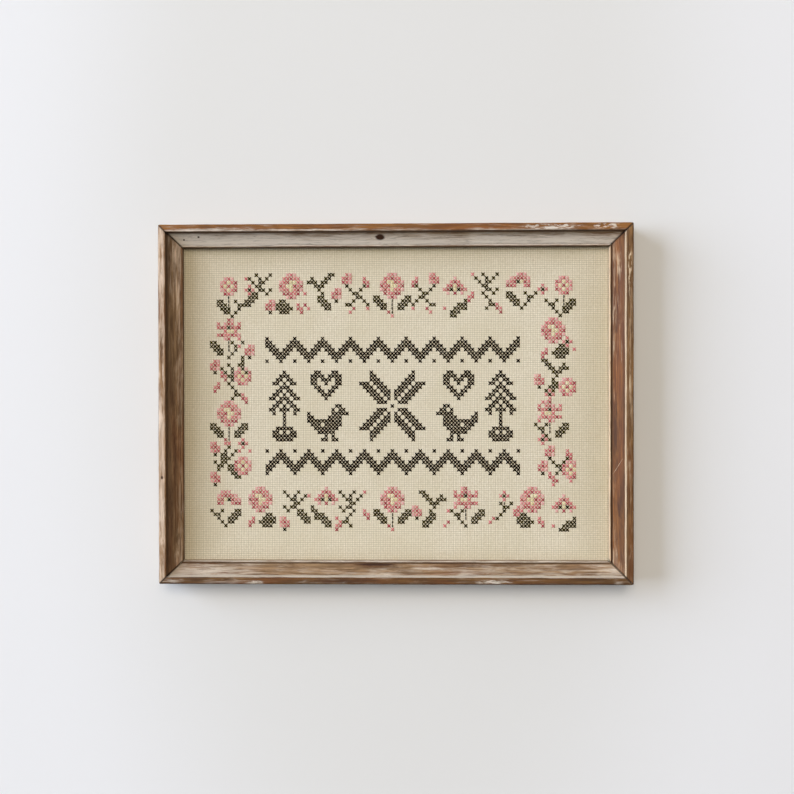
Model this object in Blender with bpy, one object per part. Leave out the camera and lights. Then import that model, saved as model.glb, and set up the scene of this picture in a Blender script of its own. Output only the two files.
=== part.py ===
"""Framed cross stitch sampler: four mitred wooden rails, the stitched cloth and its backing board.

Units are metres, +Z is up and the front faces -Y. The origin lies on the flat back of the top rail,
midway along it, where the frame hangs against a wall.
"""

import math

import bmesh
import bpy

# Outline of the frame, and its depth from the wall to the top of the outer lip
FRAME_WIDTH = 0.2980
FRAME_HEIGHT = 0.2264
FRAME_DEPTH = 0.0200

# Widths across a rail, counted inwards from its outer edge
LIP_WIDTH = 0.0046
STEP_WIDTH = 0.0006
SLOPE_WIDTH = 0.0066
GROOVE_WIDTH = 0.0007
BEAD_WIDTH = 0.0011
RAIL_WIDTH = LIP_WIDTH + STEP_WIDTH + SLOPE_WIDTH + GROOVE_WIDTH + BEAD_WIDTH
BACK_WIDTH = 0.0090

# Heights above the flat back of the frame
CLOTH_FRONT = 0.0065
REBATE_HEIGHT = 0.0068
GROOVE_FLOOR = 0.0099
SLOPE_FOOT = 0.0107
SLOPE_TOP = 0.0158

# Roundings of the moulding
LIP_OUTER_RADIUS = 0.0010
LIP_INNER_RADIUS = 0.0005
STEP_DRAFT = 20
GROOVE_FOOT = 0.0002
SLOPE_HOLLOW = 0.0004
ARC_STEPS = 4
SLOPE_STEPS = 6
BEAD_STEPS = 7

# Sheets held in the rebate
CLOTH_THICKNESS = 0.0010
BOARD_THICKNESS = 0.0025
FIT_GAP = 0.0003

# A hair's gap is left between the two faces of each mitre
MITRE_GAP = 0.0003

SMOOTH_ANGLE = math.radians(32)

# Colours as sRGB hex, with the roughness of each surface
FINISHES = {
    "limewashed_pine": ("B9AD9E", 0.72),
    "bleached_pine": ("A98B6C", 0.70),
    "umber_pine": ("7A5C42", 0.68),
    "russet_pine": ("8A6145", 0.66),
    "cream_cotton": ("DDD2B8", 0.90),
    "grey_board": ("A39A8B", 0.88),
}


def clear_scene():
    """Removes what the file holds before the sampler is built."""
    for old in list(bpy.data.objects):
        bpy.data.objects.remove(old, do_unlink=True)


def linear(hex_colour):
    """Turns an sRGB hex colour into linear red, green, blue and alpha."""
    parts = [int(hex_colour[i : i + 2], 16) / 255 for i in (0, 2, 4)]
    return [p / 12.92 if p <= 0.04045 else ((p + 0.055) / 1.055) ** 2.4 for p in parts] + [1.0]


def finish(name):
    """Makes the material that FINISHES describes."""
    colour, roughness = FINISHES[name]
    material = bpy.data.materials.new(name)
    material.use_nodes = True
    shader = material.node_tree.nodes["Principled BSDF"]
    shader.inputs["Base Color"].default_value = linear(colour)
    shader.inputs["Roughness"].default_value = roughness
    shader.inputs["Metallic"].default_value = 0.0
    return material


def arc(centre, radius, start, end, steps):
    """Points on a circle from one angle to another, in degrees, as (across, height)."""
    points = []
    for i in range(steps + 1):
        angle = math.radians(start + (end - start) * i / steps)
        points.append((centre[0] + radius * math.cos(angle), centre[1] + radius * math.sin(angle)))
    return points


def lip_profile():
    """The outer lip: a rounded outer arris, a flat top and a softened inner arris."""
    outer = (LIP_OUTER_RADIUS, FRAME_DEPTH - LIP_OUTER_RADIUS)
    inner = (LIP_WIDTH - LIP_INNER_RADIUS, FRAME_DEPTH - LIP_INNER_RADIUS)
    outer_arris = arc(outer, LIP_OUTER_RADIUS, 180, 90, ARC_STEPS)
    inner_arris = arc(inner, LIP_INNER_RADIUS, 90, STEP_DRAFT, ARC_STEPS)
    return outer_arris + inner_arris


def slope_profile():
    """The wide slope, falling towards the cloth with a shallow hollow."""
    start = LIP_WIDTH + STEP_WIDTH
    points = []
    for i in range(SLOPE_STEPS + 1):
        share = i / SLOPE_STEPS
        drop = SLOPE_TOP + (SLOPE_FOOT - SLOPE_TOP) * share
        hollow = SLOPE_HOLLOW * math.sin(math.pi * share)
        points.append((start + SLOPE_WIDTH * share, drop - hollow))
    return points


def bead_profile():
    """The groove and the half round bead along the sight edge."""
    groove_start = LIP_WIDTH + STEP_WIDTH + SLOPE_WIDTH
    radius = BEAD_WIDTH / 2
    centre = (RAIL_WIDTH - radius, GROOVE_FLOOR)
    groove = [(groove_start + GROOVE_FOOT, GROOVE_FLOOR)]
    return groove + arc(centre, radius, 180, 0, BEAD_STEPS)


def moulding_profile():
    """The whole section of a rail as (across, height) points, once round."""
    rebate = [(RAIL_WIDTH, REBATE_HEIGHT), (BACK_WIDTH, REBATE_HEIGHT), (BACK_WIDTH, 0.0), (0.0, 0.0)]
    return lip_profile() + slope_profile() + bead_profile() + rebate


def add_object(name, mesh, finish_name, parent):
    """Puts a mesh in the scene as a named piece with its own material."""
    mesh.materials.append(finish(finish_name))
    piece = bpy.data.objects.new(name, mesh)
    bpy.context.scene.collection.objects.link(piece)
    piece.parent = parent
    return piece


def mesh_from(name, shape):
    """Turns a bmesh into a mesh with its faces pointing outwards."""
    bmesh.ops.recalc_face_normals(shape, faces=shape.faces)
    mesh = bpy.data.meshes.new(name)
    shape.to_mesh(mesh)
    shape.free()
    return mesh


def mitred_rail(name, outer_length, finish_name, parent):
    """One rail along X with its outer edge at z = 0, its back at y = 0 and both ends cut at 45 degrees."""
    end_trim = MITRE_GAP / 2 * math.sqrt(2)
    profile = moulding_profile()
    shape = bmesh.new()
    rings = []
    for side in (-1, 1):
        ring = []
        for across, height in profile:
            half = outer_length / 2 - across - end_trim
            ring.append(shape.verts.new((side * half, -height, -across)))
        rings.append(ring)
    edges = []
    for ring in rings:
        count = len(ring)
        loop = [shape.edges.new((ring[i], ring[(i + 1) % count])) for i in range(count)]
        shape.faces.new(ring)
        edges.extend(loop)
    bmesh.ops.bridge_loops(shape, edges=edges)
    mesh = mesh_from(name, shape)
    mesh.shade_smooth()
    mesh.set_sharp_from_angle(angle=SMOOTH_ANGLE)
    return add_object(name, mesh, finish_name, parent)


def sheet(name, thickness, back, finish_name, parent):
    """A flat sheet cut to the rebate, its back face at the given height above the back of the frame."""
    width = FRAME_WIDTH - 2 * (BACK_WIDTH + FIT_GAP)
    height = FRAME_HEIGHT - 2 * (BACK_WIDTH + FIT_GAP)
    shape = bmesh.new()
    bmesh.ops.create_cube(shape, size=1.0)
    bmesh.ops.scale(shape, vec=(width, thickness, height), verts=shape.verts)
    piece = add_object(name, mesh_from(name, shape), finish_name, parent)
    piece.location.y = -(back + thickness / 2)


def build_frame(centre):
    """The four rails, turned about the frame's centre."""
    rails = (
        ("rail_top", FRAME_WIDTH, "limewashed_pine", 0, (0.0, FRAME_HEIGHT / 2)),
        ("rail_right", FRAME_HEIGHT, "russet_pine", 90, (FRAME_WIDTH / 2, 0.0)),
        ("rail_bottom", FRAME_WIDTH, "bleached_pine", 180, (0.0, -FRAME_HEIGHT / 2)),
        ("rail_left", FRAME_HEIGHT, "umber_pine", -90, (-FRAME_WIDTH / 2, 0.0)),
    )
    for name, outer_length, finish_name, turn, (x, z) in rails:
        rail = mitred_rail(name, outer_length, finish_name, centre)
        rail.rotation_euler.y = math.radians(turn)
        rail.location = (x, 0.0, z)


def build_sheets(centre):
    """The stitched cloth behind the rebate's lip, and the board that keeps it flat."""
    cloth_back = CLOTH_FRONT - CLOTH_THICKNESS
    board_back = cloth_back - FIT_GAP - BOARD_THICKNESS
    sheet("cloth", CLOTH_THICKNESS, cloth_back, "cream_cotton", centre)
    sheet("backing_board", BOARD_THICKNESS, board_back, "grey_board", centre)


def main():
    """Builds the sampler round an empty at the middle of its opening."""
    clear_scene()
    centre = bpy.data.objects.new("frame_centre", None)
    bpy.context.scene.collection.objects.link(centre)
    centre.location.z = BACK_WIDTH / 2 - FRAME_HEIGHT / 2
    build_frame(centre)
    build_sheets(centre)


main()
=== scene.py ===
"""Looks of the framed cross stitch sampler: worn limewashed pine, block-weave cotton and stranded floss.

Sizes are in metres, and written as millimetres times MM. The front faces -Y, and +Z is up.
"""

import math

import bpy
import numpy as np
from mathutils import Matrix, Vector


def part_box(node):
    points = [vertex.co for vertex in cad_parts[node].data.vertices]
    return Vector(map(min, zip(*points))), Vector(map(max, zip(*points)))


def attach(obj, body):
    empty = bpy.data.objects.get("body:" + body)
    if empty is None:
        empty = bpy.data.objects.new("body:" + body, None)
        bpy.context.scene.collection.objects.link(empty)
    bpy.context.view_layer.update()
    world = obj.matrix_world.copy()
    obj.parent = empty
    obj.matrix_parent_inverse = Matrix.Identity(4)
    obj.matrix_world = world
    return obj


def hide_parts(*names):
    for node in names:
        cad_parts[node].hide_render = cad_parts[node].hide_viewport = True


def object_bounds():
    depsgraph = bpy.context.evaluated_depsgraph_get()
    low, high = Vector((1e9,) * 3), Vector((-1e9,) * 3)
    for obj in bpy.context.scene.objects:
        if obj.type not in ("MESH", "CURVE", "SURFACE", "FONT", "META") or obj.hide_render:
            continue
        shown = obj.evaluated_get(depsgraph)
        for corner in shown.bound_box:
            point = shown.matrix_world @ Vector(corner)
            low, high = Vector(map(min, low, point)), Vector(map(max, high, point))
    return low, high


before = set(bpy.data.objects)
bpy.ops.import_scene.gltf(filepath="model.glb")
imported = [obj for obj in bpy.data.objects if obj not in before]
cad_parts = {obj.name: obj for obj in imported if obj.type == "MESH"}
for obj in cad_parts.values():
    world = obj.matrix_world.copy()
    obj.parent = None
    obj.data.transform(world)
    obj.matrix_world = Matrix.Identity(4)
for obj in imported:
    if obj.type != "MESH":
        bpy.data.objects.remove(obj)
cad_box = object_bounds()

MM = 0.001

# The frame's outline and middle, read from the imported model
OUTLINE_LOW, OUTLINE_HIGH = cad_box
FRAME_WIDTH = OUTLINE_HIGH.x - OUTLINE_LOW.x
FRAME_HEIGHT = OUTLINE_HIGH.z - OUTLINE_LOW.z
FRAME_DEPTH = OUTLINE_HIGH.y - OUTLINE_LOW.y
MIDDLE_Z = (OUTLINE_HIGH.z + OUTLINE_LOW.z) / 2
CLOTH_LOW, CLOTH_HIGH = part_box("cloth")
CLOTH_FRONT = -CLOTH_LOW.y
CLOTH_BACK = -CLOTH_HIGH.y
RAIL_TOP_LOW, RAIL_TOP_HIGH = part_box("rail_top")
RAIL_WIDTH = RAIL_TOP_HIGH.z - RAIL_TOP_LOW.z
FIT_GAP = 0.3 * MM
REBATE_WIDTH = OUTLINE_HIGH.x - CLOTH_HIGH.x - FIT_GAP

# The moulding, across a rail from its outer edge and up from its flat back
LIP_WIDTH = 4.6 * MM
STEP_WIDTH = 0.6 * MM
SLOPE_WIDTH = 6.6 * MM
GROOVE_WIDTH = 0.7 * MM
GROOVE_FOOT = 0.2 * MM
BEAD_WIDTH = RAIL_WIDTH - LIP_WIDTH - STEP_WIDTH - SLOPE_WIDTH - GROOVE_WIDTH
SLOPE_TOP = 15.8 * MM
SLOPE_FOOT = 10.7 * MM
GROOVE_FLOOR = 9.9 * MM
REBATE_HEIGHT = CLOTH_FRONT + FIT_GAP
LIP_OUTER_RADIUS = 1.0 * MM
LIP_INNER_RADIUS = 0.5 * MM
SLOPE_HOLLOW = 0.4 * MM
MITRE_TRIM = 0.212 * MM
RAIL_STATION = 1.2 * MM

# The cosine and sine of the step's draft
DRAFT_COS, DRAFT_SIN = 0.94, 0.34

# Wear of a rail: the height of its waves and its grain, and the rounding of its arrises and its mitred ends
WAVE_HEIGHT = 0.05 * MM
GRAIN_HEIGHT = 0.035 * MM
ARRIS_WEAR = 0.22 * MM
MITRE_WEAR = 0.16 * MM

# The weave: one block is one stitch, a little taller than wide
BLOCK_WIDTH = 2.227 * MM
BLOCK_HEIGHT = 2.393 * MM
CHART_COLUMNS = 105
CHART_ROWS = 69
CHART_CENTRE_X = -2.0 * MM
CHART_CENTRE_Z = MIDDLE_Z + 1.1 * MM
GAP_DEPTH = 0.06 * MM
HOLE_DEPTH = 0.12 * MM

# How far the weave's grid carries on under the rails, and how uneven its blocks and threads lie
HIDDEN_WEAVE = 2.6 * MM
BLOCK_UNEVENNESS = 0.03 * MM
THREAD_DRIFT = 0.05 * MM

# How far in from the rails the cloth is painted darker and browner: ageing of the old cloth, and painted shade from
# the rails
TONING_AND_SHADE_REACH = 20.0 * MM

# How far down the cloth the painted shadow under the top rail reaches
SHADOW_UNDER_RAIL_REACH = 3.2 * MM

# Stranded floss: how flat it lies, how deep a leg's ends are sunk, how high it arches, and how far it sways
FLOSS_FLATNESS = 0.50
LEG_SUNK = 0.30 * MM
LEG_ARCH = 0.42 * MM
LEG_SWAY = 0.04 * MM
LOWER_LEG_LIFT = 0.04 * MM
UPPER_LEG_LIFT = 0.32 * MM
STEM_LIFT = 0.10 * MM
LEG_STATIONS = 6
LEG_SIDES = 8

# The photograph's viewpoint, measured from the middle of the cloth's face
CAMERA_RIGHT = 18.2 * MM
CAMERA_UP = 9.7 * MM
CAMERA_DISTANCE = 703.6 * MM
CAMERA_YAW = math.radians(1.40)
CAMERA_PITCH = math.radians(-0.43)
CAMERA_ROLL = math.radians(0.09)
CAMERA_LENS_MM = 50.0
CAMERA_SENSOR_MM = 36.0


def linear(hex_colour):
    """Turns an sRGB hex colour into linear red, green, blue and alpha."""
    parts = [int(hex_colour[i : i + 2], 16) / 255 for i in (0, 2, 4)]
    return [p / 12.92 if p <= 0.04045 else ((p + 0.055) / 1.055) ** 2.4 for p in parts] + [1.0]


# Kinds of node as their type, the output that is read, and their settings
VECTOR = ("ShaderNodeVectorMath", 0, {})
NOISE = ("ShaderNodeTexNoise", 0, {})
ATTRIBUTE = ("ShaderNodeAttribute", 0, {})
COLOURS = ("ShaderNodeMix", 2, {"data_type": "RGBA"})
SMOOTH = ("ShaderNodeMapRange", 0, {"interpolation_type": "SMOOTHSTEP"})
ADD, SUBTRACT, MULTIPLY, MULTIPLY_ADD, SINE, ABSOLUTE, MINIMUM, MAXIMUM = [
    ("ShaderNodeMath", 0, {"operation": operation})
    for operation in ("ADD", "SUBTRACT", "MULTIPLY", "MULTIPLY_ADD", "SINE", "ABSOLUTE", "MINIMUM", "MAXIMUM")
]


def add(tree, kind, sockets=(), out=None, **settings):
    """Adds one node with its settings. Each socket takes a value or another node's output.

    A kind is a node's type, or one of the kinds above. Sockets are given by name or place, or as a list from the
    first one on. It returns one of the node's outputs.
    """
    node_type, usual_out, usual_settings = (kind, 0, {}) if isinstance(kind, str) else kind
    node = tree.nodes.new(node_type)
    for name, value in {**usual_settings, **settings}.items():
        setattr(node, name, value)
    for key, value in sockets.items() if isinstance(sockets, dict) else enumerate(sockets):
        if isinstance(value, bpy.types.NodeSocket):
            tree.links.new(value, node.inputs[key])
        else:
            node.inputs[key].default_value = value
    return node.outputs[usual_out if out is None else out]


def new_material(name, **values):
    """A material with one principled shader, whose constants are set on its own sockets."""
    material = bpy.data.materials.new(name)
    material.use_nodes = True
    tree = material.node_tree
    shader = tree.nodes["Principled BSDF"]
    for key, value in values.items():
        shader.inputs[key.replace("_", " ")].default_value = value
    return material, tree, shader


def set_surface(tree, shader, colour, height, strength, depth):
    """Gives a shader its colour, and a relief from a height."""
    tree.links.new(colour, shader.inputs["Base Color"])
    bump = add(tree, "ShaderNodeBump", {"Strength": strength, "Distance": depth, "Height": height})
    tree.links.new(bump, shader.inputs["Normal"])


def wander(x, length, seed):
    """Smooth noise from -1 to 1: five sines, each 1.83 times shorter and 0.62 times weaker than the last."""
    rng = np.random.default_rng(seed)
    weights = 0.62 ** np.arange(5)
    phases = rng.random(5)
    waves = [w * np.sin(2 * np.pi * (x * 1.83**k / length + phases[k])) for k, w in enumerate(weights)]
    return sum(waves) / weights.sum() * 1.6


def wander_field(x, y, length_x, length_y, seed):
    """Smooth noise over a surface: seven sines that run in turned directions, with their phases seeded."""
    rng = np.random.default_rng(seed)
    total = 0.0
    weight_sum = 0.0
    for k in range(7):
        weight = 0.75**k
        angle = rng.uniform(0, np.pi)
        run = x / length_x * np.cos(angle) + y / length_y * np.sin(angle)
        total = total + weight * np.sin(2 * np.pi * (run * 1.45**k + rng.random()))
        weight_sum += weight
    return total / weight_sum * 1.6


def make_mesh(name, vertices, faces, material):
    """A mesh at the origin, with one material."""
    mesh = bpy.data.meshes.new(name)
    mesh.from_pydata(vertices, [], faces)
    mesh.materials.append(material)
    made = bpy.data.objects.new(name, mesh)
    bpy.context.scene.collection.objects.link(made)
    return made


def make_piece(name, vertices, faces, material, smooth=True):
    """A mesh that rides on the frame."""
    piece = make_mesh(name, vertices, faces, material)
    if smooth:
        piece.data.shade_smooth()
    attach(piece, "root")
    return piece


def store(piece, name, values):
    """Keeps one number or one vector for each vertex, for the material to read."""
    kind = "FLOAT_VECTOR" if values.ndim == 2 else "FLOAT"
    attribute = piece.data.attributes.new(name, kind, "POINT")
    attribute.data.foreach_set("vector" if kind == "FLOAT_VECTOR" else "value", values.astype(np.float32).ravel())


def ring_faces(stations, count):
    """Quads between rings of count points, each ring closed on itself, as an array of corners."""
    s, i = np.meshgrid(np.arange(stations - 1), np.arange(count), indexing="ij")
    j = (i + 1) % count
    return np.stack([s * count + i, s * count + j, (s + 1) * count + j, (s + 1) * count + i], -1).reshape(-1, 4)


# Rails


def straight(start, end, steps):
    """Points from one end of a line towards the other, which is left to the next stretch."""
    share = np.arange(steps)[:, None] / steps
    return np.array(start) + (np.array(end) - np.array(start)) * share


def round_corner(centre, radius, start, end, steps):
    """Points on an arc between two angles in degrees, its end left to the next stretch."""
    angles = np.radians(start + (end - start) * np.arange(steps) / steps)
    return np.array(centre) + radius * np.stack([np.cos(angles), np.sin(angles)], -1)


def moulding():
    """The section of a rail once round, as points and the zone that each lies in.

    It runs up the outer side, over the rounded lip, down the step, along the hollow slope, through the groove,
    over the half round bead, down the sight edge, and back through the rebate.
    """
    lip_out = (LIP_OUTER_RADIUS, FRAME_DEPTH - LIP_OUTER_RADIUS)
    lip_in = (LIP_WIDTH - LIP_INNER_RADIUS, FRAME_DEPTH - LIP_INNER_RADIUS)
    step_head = (lip_in[0] + LIP_INNER_RADIUS * DRAFT_COS, lip_in[1] + LIP_INNER_RADIUS * DRAFT_SIN)
    slope_start = LIP_WIDTH + STEP_WIDTH
    groove_start = slope_start + SLOPE_WIDTH
    groove_foot = groove_start + GROOVE_FOOT
    bead_radius = BEAD_WIDTH / 2
    bead = (RAIL_WIDTH - bead_radius, GROOVE_FLOOR)
    slope = straight((slope_start, SLOPE_TOP), (groove_start, SLOPE_FOOT), 24)
    slope[:, 1] -= SLOPE_HOLLOW * np.sin(np.pi * np.arange(24) / 24)
    stretches = (
        ("side", straight((0.0, 0.0), (0.0, lip_out[1]), 9)),
        ("lip", round_corner(lip_out, LIP_OUTER_RADIUS, 180, 90, 6)),
        ("lip", straight((lip_out[0], FRAME_DEPTH), (lip_in[0], FRAME_DEPTH), 9)),
        ("lip", round_corner(lip_in, LIP_INNER_RADIUS, 90, 20, 4)),
        ("wall", straight(step_head, (slope_start, SLOPE_TOP), 6)),
        ("slope", slope),
        ("groove", straight((groove_start, SLOPE_FOOT), (groove_foot, GROOVE_FLOOR), 2)),
        ("groove", straight((groove_foot, GROOVE_FLOOR), (bead[0] - bead_radius, GROOVE_FLOOR), 2)),
        ("bead", round_corner(bead, bead_radius, 180, 0, 9)),
        ("sight", straight((RAIL_WIDTH, GROOVE_FLOOR), (RAIL_WIDTH, REBATE_HEIGHT), 4)),
        ("rebate", straight((RAIL_WIDTH, REBATE_HEIGHT), (REBATE_WIDTH, REBATE_HEIGHT), 3)),
        ("rebate", straight((REBATE_WIDTH, REBATE_HEIGHT), (REBATE_WIDTH, 0.0), 3)),
        ("back", straight((REBATE_WIDTH, 0.0), (0.0, 0.0), 5)),
    )
    points = np.concatenate([p for zone, p in stretches])
    zones = np.concatenate([[zone] * len(p) for zone, p in stretches])
    return points, zones


SECTION, SECTION_ZONES = moulding()
SECTION_STEPS = np.linalg.norm(np.roll(SECTION, -1, 0) - SECTION, axis=1)
SECTION_RUN = np.concatenate([[0.0], np.cumsum(SECTION_STEPS)[:-1]])
SECTION_TANGENT = np.roll(SECTION, -1, 0) - np.roll(SECTION, 1, 0)
SECTION_TANGENT /= np.linalg.norm(SECTION_TANGENT, axis=1)[:, None]
SECTION_NORMAL = np.stack([-SECTION_TANGENT[:, 1], SECTION_TANGENT[:, 0]], -1)


def zone_run(zone, share):
    """How far round the section, in millimetres, a share of a zone lies."""
    runs = SECTION_RUN[SECTION_ZONES == zone]
    return (runs[0] + (runs[-1] - runs[0]) * share) / MM


def across_zones(amounts):
    """A number for each point of the section, softened into the next zone.

    A zone's numbers are spread evenly over it from the outer edge of the rail inwards.
    """
    values = np.zeros(len(SECTION))
    for zone, amount in amounts.items():
        places = np.flatnonzero(SECTION_ZONES == zone)
        amount = np.atleast_1d(amount)
        share = np.linspace(0, 1, len(places))
        values[places] = np.interp(share, np.linspace(0, 1, len(amount)), amount)
    return 0.6 * values + 0.2 * np.roll(values, 1) + 0.2 * np.roll(values, -1)


# Each rail: its turn about the middle in degrees, the wood of its lip and of its slope as dark and light streaks, the
# limewash, how much limewash and how much grime lies across each part of the moulding, and how much more limewash is
# left on the slope from one end of the rail to the other. The amounts across the moulding also paint light and shade.
# On the right and bottom rails, whose step, bead and sight edge face the lamps, extra limewash paints those edges
# pale as painted highlights. On the top and left rails, which face away, the grime darkens the step, the top of the
# slope, the groove, the bead and the sight edge as painted shade, over real dirt in the hollows.
RAILS = {
    "rail_top": dict(
        finish="limewashed_pine",
        turn=0,
        lip_wood=("643C15", "A06A30"),
        slope_wood=("745A40", "BCA484"),
        lime_colour="EAE1D5",
        lime_and_highlight=dict(
            side=0.1, lip=(0.1, 0.1, 0.16, 0.6), slope=(0.2, 0.55, 0.76, 0.86, 0.9), groove=1.0, bead=(0.8, 0.4, 0)
        ),
        # painted shade: the top rail's step, the top of its slope, its bead and its sight edge face down, away from
        # the lamps, and are darkened here
        grime_and_shade=dict(
            side=0.3, lip=(0.1, 0, 0), wall=0.95, slope=(0.35, 0, 0, 0, 0), bead=(0.1, 0.45, 0.95), sight=1.0
        ),
        left_on=(0.6, 0.3, 0.1, 0.05, 0.05, 0.05, 0.05),
    ),
    "rail_right": dict(
        finish="russet_pine",
        turn=90,
        lip_wood=("462A12", "92693C"),
        slope_wood=("3A1A06", "96602A"),
        lime_colour="E4CAA8",
        lime_and_highlight=dict(
            side=0.15,
            lip=(0.2, 0.2, 0.1),
            # painted highlight: the step, the bead and the sight edge face the lamp on the left and are painted pale
            # here
            wall=(0.5, 1.2, 1.2, 0.3),
            slope=(0, 0.02, 0.12, 0.28),
            bead=(0, 0.6, 1.1),
            sight=1.2,
        ),
        grime_and_shade=dict(side=0.3, lip=(0, 0, 0.3), slope=(0.5, 0.15, 0, 0, 0), groove=0.9, bead=(0.8, 0, 0)),
        left_on=(0.12, 0.1, 0.02, -0.14, -0.2, 0.0, 0.26),
    ),
    "rail_bottom": dict(
        finish="bleached_pine",
        turn=180,
        lip_wood=("3C220B", "805A2E"),
        slope_wood=("60442A", "AC8C68"),
        lime_colour="DDD2C3",
        lime_and_highlight=dict(
            # painted highlight: the step faces up towards the lamps and is painted pale
            side=0.1, lip=(0.24, 0.2, 0.1), wall=1.2, slope=(0.42, 0.40, 0.36, 0.30), groove=0.1, bead=0.7, sight=0.4
        ),
        grime_and_shade=dict(side=0.7, lip=(0.4, 0, 0.1), slope=(0.05, 0, 0, 0), groove=0.8, sight=0.3),
        left_on=(0.1, -0.04, -0.08, 0.0, -0.2, 0.05, 0.32),
    ),
    "rail_left": dict(
        finish="umber_pine",
        turn=-90,
        lip_wood=("6C4824", "BC966C"),
        slope_wood=("523A22", "AE8D69"),
        lime_colour="ECD6C1",
        lime_and_highlight=dict(side=0.3, lip=(0.1, 0.5, 0.7, 0.55, 0.05), slope=(0.0, 0.02, 0.16, 0.3), groove=0.4, bead=0.2),
        # painted shade: the step, the top of the slope and the sight edge face away from the lamp on the left and are
        # darkened
        grime_and_shade=dict(side=0.2, lip=(0.1, 0, 0, 0, 0.1), wall=0.75, slope=(0.6, 0.25, 0, 0), sight=0.8),
        left_on=(0.16, -0.04, -0.12, -0.06, 0.08, 0.26, 0.36),
    ),
}

# Marks of wear as (kind, zone, share across the zone, millimetres along from the rail's middle, half length, half
# width). On the top rail along runs to the right, and so on clockwise round the frame.
MARKS = {
    "rail_top": (
        ("knot", "slope", 0.42, -9.5, 3.3, 2.5), ("knot", "slope", 0.35, -124.5, 0.8, 0.7),
        ("knot", "slope", 0.60, -134.0, 0.7, 0.7), ("stain", "slope", 0.38, 76.0, 9.0, 0.5),
        ("wash", "lip", 0.80, -116.0, 30.0, 1.3), ("wash", "lip", 0.85, -58.0, 40.0, 0.8),
        ("flakes", "lip", 0.55, 98.0, 24.0, 2.6), ("flakes", "lip", 0.55, 132.0, 12.0, 2.6),
    ),
    "rail_right": (
        ("scratch", "slope", 0.53, 38.8, 8.6, 0.25), ("wash", "slope", 0.45, -84.0, 14.0, 2.0),
        ("wash", "slope", 0.30, -30.0, 7.0, 0.8), ("stain", "slope", 0.75, 20.0, 30.0, 1.6),
        ("stain", "slope", 0.30, 64.0, 16.0, 1.6), ("wash", "lip", 0.60, -14.0, 18.0, 0.7),
        ("flakes", "lip", 0.60, -84.0, 22.0, 1.6),
    ),
    "rail_bottom": (
        ("flakes", "lip", 0.30, 88.5, 7.0, 2.2), ("wash", "lip", 0.28, 88.5, 6.2, 1.2),
        ("wash", "lip", 0.35, -139.0, 4.0, 1.5), ("flakes", "lip", 0.45, -62.0, 15.0, 2.0),
        ("wash", "lip", 0.45, -64.0, 11.0, 0.9), ("wash", "lip", 0.50, 139.0, 6.0, 1.4),
        ("stain", "lip", 0.60, 36.0, 40.0, 1.6), ("knot", "slope", 0.95, 13.0, 14.0, 0.9),
        ("stain", "slope", 0.72, 12.0, 20.0, 1.6), ("stain", "slope", 0.85, -46.0, 18.0, 1.0),
        ("wash", "slope", 0.60, -26.0, 12.0, 1.2), ("bare", "slope", 0.80, 26.0, 30.0, 1.6),
    ),
    "rail_left": (
        ("knot", "lip", 0.55, -46.0, 1.2, 0.8), ("bare", "lip", 0.45, 96.0, 9.0, 1.2),
        ("bare", "lip", 0.50, 26.0, 24.0, 1.4), ("stain", "lip", 0.50, 36.0, 12.0, 1.0),
        ("bare", "lip", 0.50, -92.0, 14.0, 1.4), ("stain", "slope", 0.45, 2.0, 9.0, 2.2),
        ("stain", "slope", 0.60, -30.0, 24.0, 1.6), ("stain", "slope", 0.30, -64.0, 20.0, 1.2),
    ),
}


def rail_surface(outer_length, seed):
    """The surface of a rail in its own place: its section carried along X, drawn in towards each mitre.

    A point is station times (half length - its distance across), so the ends come out at 45 degrees. It then moves
    along the section's normal by low waves, fine ridges of grain, and rounding that comes and goes on the arrises.
    """
    count = int(round(outer_length / RAIL_STATION)) + 1
    even = np.linspace(-1.0, 1.0, count)
    station = np.sin(even * np.pi / 2) * 0.18 + even * 0.82
    across, height = SECTION.T
    half = outer_length / 2 - across - MITRE_TRIM
    along = station[:, None] * half[None, :]
    run = np.broadcast_to(SECTION_RUN[None, :], along.shape)
    shows = ~np.isin(SECTION_ZONES, ("rebate", "back"))

    waves = WAVE_HEIGHT * wander_field(along, run, 70 * MM, 22 * MM, seed)
    grain = GRAIN_HEIGHT * wander_field(along, run, 45 * MM, 1.6 * MM, seed + 1)
    arris = np.isin(SECTION_ZONES, ("lip", "bead")) * np.clip(np.abs(SECTION_NORMAL).min(1) * 2.2, 0, 1)
    worn = np.clip(wander(along, 31 * MM, seed + 2) + 0.2, 0, 1) * ARRIS_WEAR * arris
    to_mitre = half[None, :] - np.abs(along)
    drawn_in = MITRE_WEAR * np.exp(-to_mitre / (0.45 * MM))
    shift = np.minimum((waves + grain) * shows - worn - drawn_in, 0.12 * MM)
    shift[:, ~shows] = 0.0
    shift[:, 0] = 0.0

    points = np.empty(along.shape + (3,))
    points[..., 0] = along
    points[..., 1] = -(height + SECTION_NORMAL[:, 1] * shift)
    points[..., 2] = -(across + SECTION_NORMAL[:, 0] * shift)
    return points, along, run, to_mitre


def turned_about_y(points, degrees):
    """Turns points about the Y axis, as a rail is turned on the bench."""
    c, s = math.cos(math.radians(degrees)), math.sin(math.radians(degrees))
    x, y, z = points[..., 0], points[..., 1], points[..., 2]
    return np.stack([x * c + z * s, y, -x * s + z * c], -1)


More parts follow.
